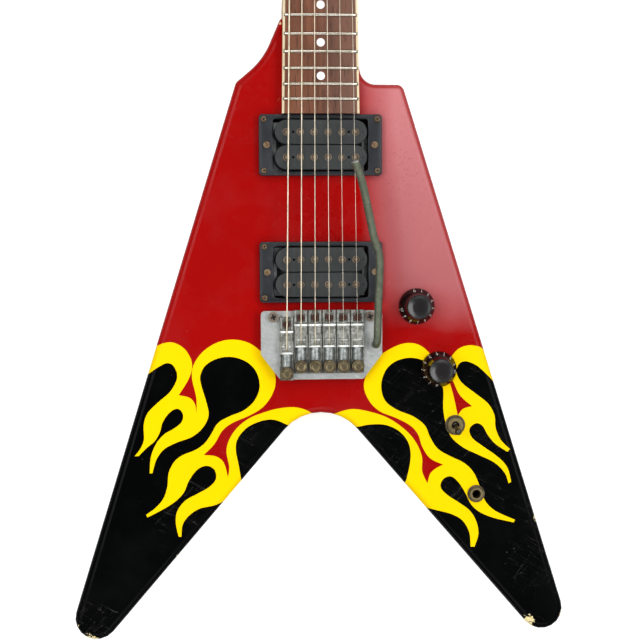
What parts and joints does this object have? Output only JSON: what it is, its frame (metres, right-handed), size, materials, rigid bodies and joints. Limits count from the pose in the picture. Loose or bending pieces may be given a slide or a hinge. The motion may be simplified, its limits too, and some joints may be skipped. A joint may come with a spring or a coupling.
{
  "type": "v-shaped electric guitar",
  "caption": "Worn V-shaped solid-body electric guitar with flame paint, bolt-on neck, humbucking pickups and a floating tremolo with rusted hardware.",
  "frame": {"origin": "on the flat back, on the centreline, under the end of the scale at the bridge", "axes": "+X to the treble side, +Y to the headstock, +Z out of the playing face"},
  "size_m": [0.3691, 1.0381, 0.0907],
  "materials": {
    "body_paint": "gloss paint in red, yellow and black",
    "neck_wood": "satin clear coat",
    "rosewood": "oiled",
    "cream_plastic": "aged cream",
    "nickel_silver": "worn",
    "string_steel": "drawn wire",
    "black_plastic": "semi-gloss",
    "plated_steel": "dulled plating",
    "rusty_steel": "rusted",
    "tarnished_brass": "tarnished",
    "arm_steel": "olive-grey tarnish",
    "lever_metal": "dark tarnish",
    "capacitor": "dipped"
  },
  "bodies": {
    "guitar": {"body": "body_paint", "neck": "neck_wood", "fingerboard": "rosewood", "fingerboard_binding": "cream_plastic", "frets": "nickel_silver", "inlay_dots": "cream_plastic", "nut": "cream_plastic", "truss_rod": "rusty_steel", "truss_rod_cover": "black_plastic", "tuner_housings": "plated_steel", "tuner_bushings": "plated_steel", "strings": "string_steel", "wood_screws": "rusty_steel", "neck_ferrules": "plated_steel", "strap_button": "plated_steel", "small_screws": "rusty_steel", "pickup_rings": "black_plastic", "pickup_baseplates": "plated_steel", "pickup_magnets": "rusty_steel", "pickup_bobbins": "black_plastic", "pole_screws": "rusty_steel", "height_screws": "rusty_steel", "pots": "plated_steel", "panel_nuts": "tarnished_brass", "tone_capacitor": "capacitor", "switch_body": "plated_steel", "output_jack": "plated_steel", "control_cover": "black_plastic", "spring_cover": "black_plastic", "pivot_posts": "rusty_steel", "spring_claw": "plated_steel", "trem_springs": "plated_steel"},
    "tremolo": {"trem_plate": "plated_steel", "trem_block": "plated_steel", "saddles": "plated_steel", "saddle_screws": "rusty_steel"},
    "arm": {"trem_arm": "arm_steel"},
    "volume": {"volume_shaft": "plated_steel", "volume_knob": "black_plastic"},
    "tone": {"tone_shaft": "plated_steel", "tone_knob": "black_plastic"},
    "toggle": {"toggle_lever": "lever_metal"},
    "fine_1": {"fine_tuner_1": "tarnished_brass"},
    "button_1": {"tuner_button_1": "plated_steel"},
    "post_1": {"tuner_post_1": "plated_steel"},
    "fine_2": {"fine_tuner_2": "tarnished_brass"},
    "button_2": {"tuner_button_2": "plated_steel"},
    "post_2": {"tuner_post_2": "plated_steel"},
    "fine_3": {"fine_tuner_3": "tarnished_brass"},
    "button_3": {"tuner_button_3": "plated_steel"},
    "post_3": {"tuner_post_3": "plated_steel"},
    "fine_4": {"fine_tuner_4": "tarnished_brass"},
    "button_4": {"tuner_button_4": "plated_steel"},
    "post_4": {"tuner_post_4": "plated_steel"},
    "fine_5": {"fine_tuner_5": "tarnished_brass"},
    "button_5": {"tuner_button_5": "plated_steel"},
    "post_5": {"tuner_post_5": "plated_steel"},
    "fine_6": {"fine_tuner_6": "tarnished_brass"},
    "button_6": {"tuner_button_6": "plated_steel"},
    "post_6": {"tuner_post_6": "plated_steel"}
  },
  "joints": [
    {"name": "tremolo_tilt", "type": "hinge", "parent": "guitar", "child": "tremolo", "pos_m": [0, 0.0218, 0.04605], "axis": [1, 0, 0], "range_deg": [-10, 4], "stiffness_Nm_per_rad": 6, "deforming": ["strings", "trem_springs"]},
    {"name": "arm_swivel", "type": "hinge", "parent": "tremolo", "child": "arm", "pos_m": [0.0396, 0.0011, 0.05], "axis": [0, 0, 1], "range_deg": [-150, 25]},
    {"name": "volume_turn", "type": "hinge", "parent": "guitar", "child": "volume", "pos_m": [0.0717, 0.0287, 0.045], "axis": [0, 0, 1], "range_deg": [-140, 140]},
    {"name": "tone_turn", "type": "hinge", "parent": "guitar", "child": "tone", "pos_m": [0.0883, -0.0187, 0.045], "axis": [0, 0, 1], "range_deg": [-140, 140]},
    {"name": "toggle_flip", "type": "hinge", "parent": "guitar", "child": "toggle", "pos_m": [0.101, -0.061, 0.0394], "axis": [1, 0, 0], "range_deg": [-24, 0]},
    {"name": "fine_1_turn", "type": "hinge", "parent": "tremolo", "child": "fine_1", "pos_m": [-0.02625, -0.0196, 0.05], "axis": [0, 0, 1], "range_deg": [-540, 540]},
    {"name": "button_1_turn", "type": "hinge", "parent": "guitar", "child": "button_1", "pos_m": [-0.026, 0.7036, 0.0195], "axis": [-1, 0, 0], "continuous": true},
    {"name": "post_1_turn", "type": "hinge", "parent": "guitar", "child": "post_1", "pos_m": [-0.026, 0.696, 0.035], "axis": [0, 0, 1], "continuous": true},
    {"name": "fine_2_turn", "type": "hinge", "parent": "tremolo", "child": "fine_2", "pos_m": [-0.01575, -0.0146, 0.05], "axis": [0, 0, 1], "range_deg": [-540, 540]},
    {"name": "button_2_turn", "type": "hinge", "parent": "guitar", "child": "button_2", "pos_m": [-0.026, 0.7436, 0.0195], "axis": [-1, 0, 0], "continuous": true},
    {"name": "post_2_turn", "type": "hinge", "parent": "guitar", "child": "post_2", "pos_m": [-0.026, 0.736, 0.035], "axis": [0, 0, 1], "continuous": true},
    {"name": "fine_3_turn", "type": "hinge", "parent": "tremolo", "child": "fine_3", "pos_m": [-0.00525, -0.0146, 0.05], "axis": [0, 0, 1], "range_deg": [-540, 540]},
    {"name": "button_3_turn", "type": "hinge", "parent": "guitar", "child": "button_3", "pos_m": [-0.026, 0.7836, 0.0195], "axis": [-1, 0, 0], "continuous": true},
    {"name": "post_3_turn", "type": "hinge", "parent": "guitar", "child": "post_3", "pos_m": [-0.026, 0.776, 0.035], "axis": [0, 0, 1], "continuous": true},
    {"name": "fine_4_turn", "type": "hinge", "parent": "tremolo", "child": "fine_4", "pos_m": [0.00525, -0.0146, 0.05], "axis": [0, 0, 1], "range_deg": [-540, 540]},
    {"name": "button_4_turn", "type": "hinge", "parent": "guitar", "child": "button_4", "pos_m": [0.026, 0.7836, 0.0195], "axis": [1, 0, 0], "continuous": true},
    {"name": "post_4_turn", "type": "hinge", "parent": "guitar", "child": "post_4", "pos_m": [0.026, 0.776, 0.035], "axis": [0, 0, 1], "continuous": true},
    {"name": "fine_5_turn", "type": "hinge", "parent": "tremolo", "child": "fine_5", "pos_m": [0.01575, -0.0146, 0.05], "axis": [0, 0, 1], "range_deg": [-540, 540]},
    {"name": "button_5_turn", "type": "hinge", "parent": "guitar", "child": "button_5", "pos_m": [0.026, 0.7436, 0.0195], "axis": [1, 0, 0], "continuous": true},
    {"name": "post_5_turn", "type": "hinge", "parent": "guitar", "child": "post_5", "pos_m": [0.026, 0.736, 0.035], "axis": [0, 0, 1], "continuous": true},
    {"name": "fine_6_turn", "type": "hinge", "parent": "tremolo", "child": "fine_6", "pos_m": [0.02625, -0.0146, 0.05], "axis": [0, 0, 1], "range_deg": [-540, 540]},
    {"name": "button_6_turn", "type": "hinge", "parent": "guitar", "child": "button_6", "pos_m": [0.026, 0.7036, 0.0195], "axis": [1, 0, 0], "continuous": true},
    {"name": "post_6_turn", "type": "hinge", "parent": "guitar", "child": "post_6", "pos_m": [0.026, 0.696, 0.035], "axis": [0, 0, 1], "continuous": true}
  ],
  "couplings": [
    {"joint": "post_1_turn", "follows": "button_1_turn", "ratio": 0.071429},
    {"joint": "post_2_turn", "follows": "button_2_turn", "ratio": 0.071429},
    {"joint": "post_3_turn", "follows": "button_3_turn", "ratio": 0.071429},
    {"joint": "post_4_turn", "follows": "button_4_turn", "ratio": 0.071429},
    {"joint": "post_5_turn", "follows": "button_5_turn", "ratio": 0.071429},
    {"joint": "post_6_turn", "follows": "button_6_turn", "ratio": 0.071429}
  ]
}
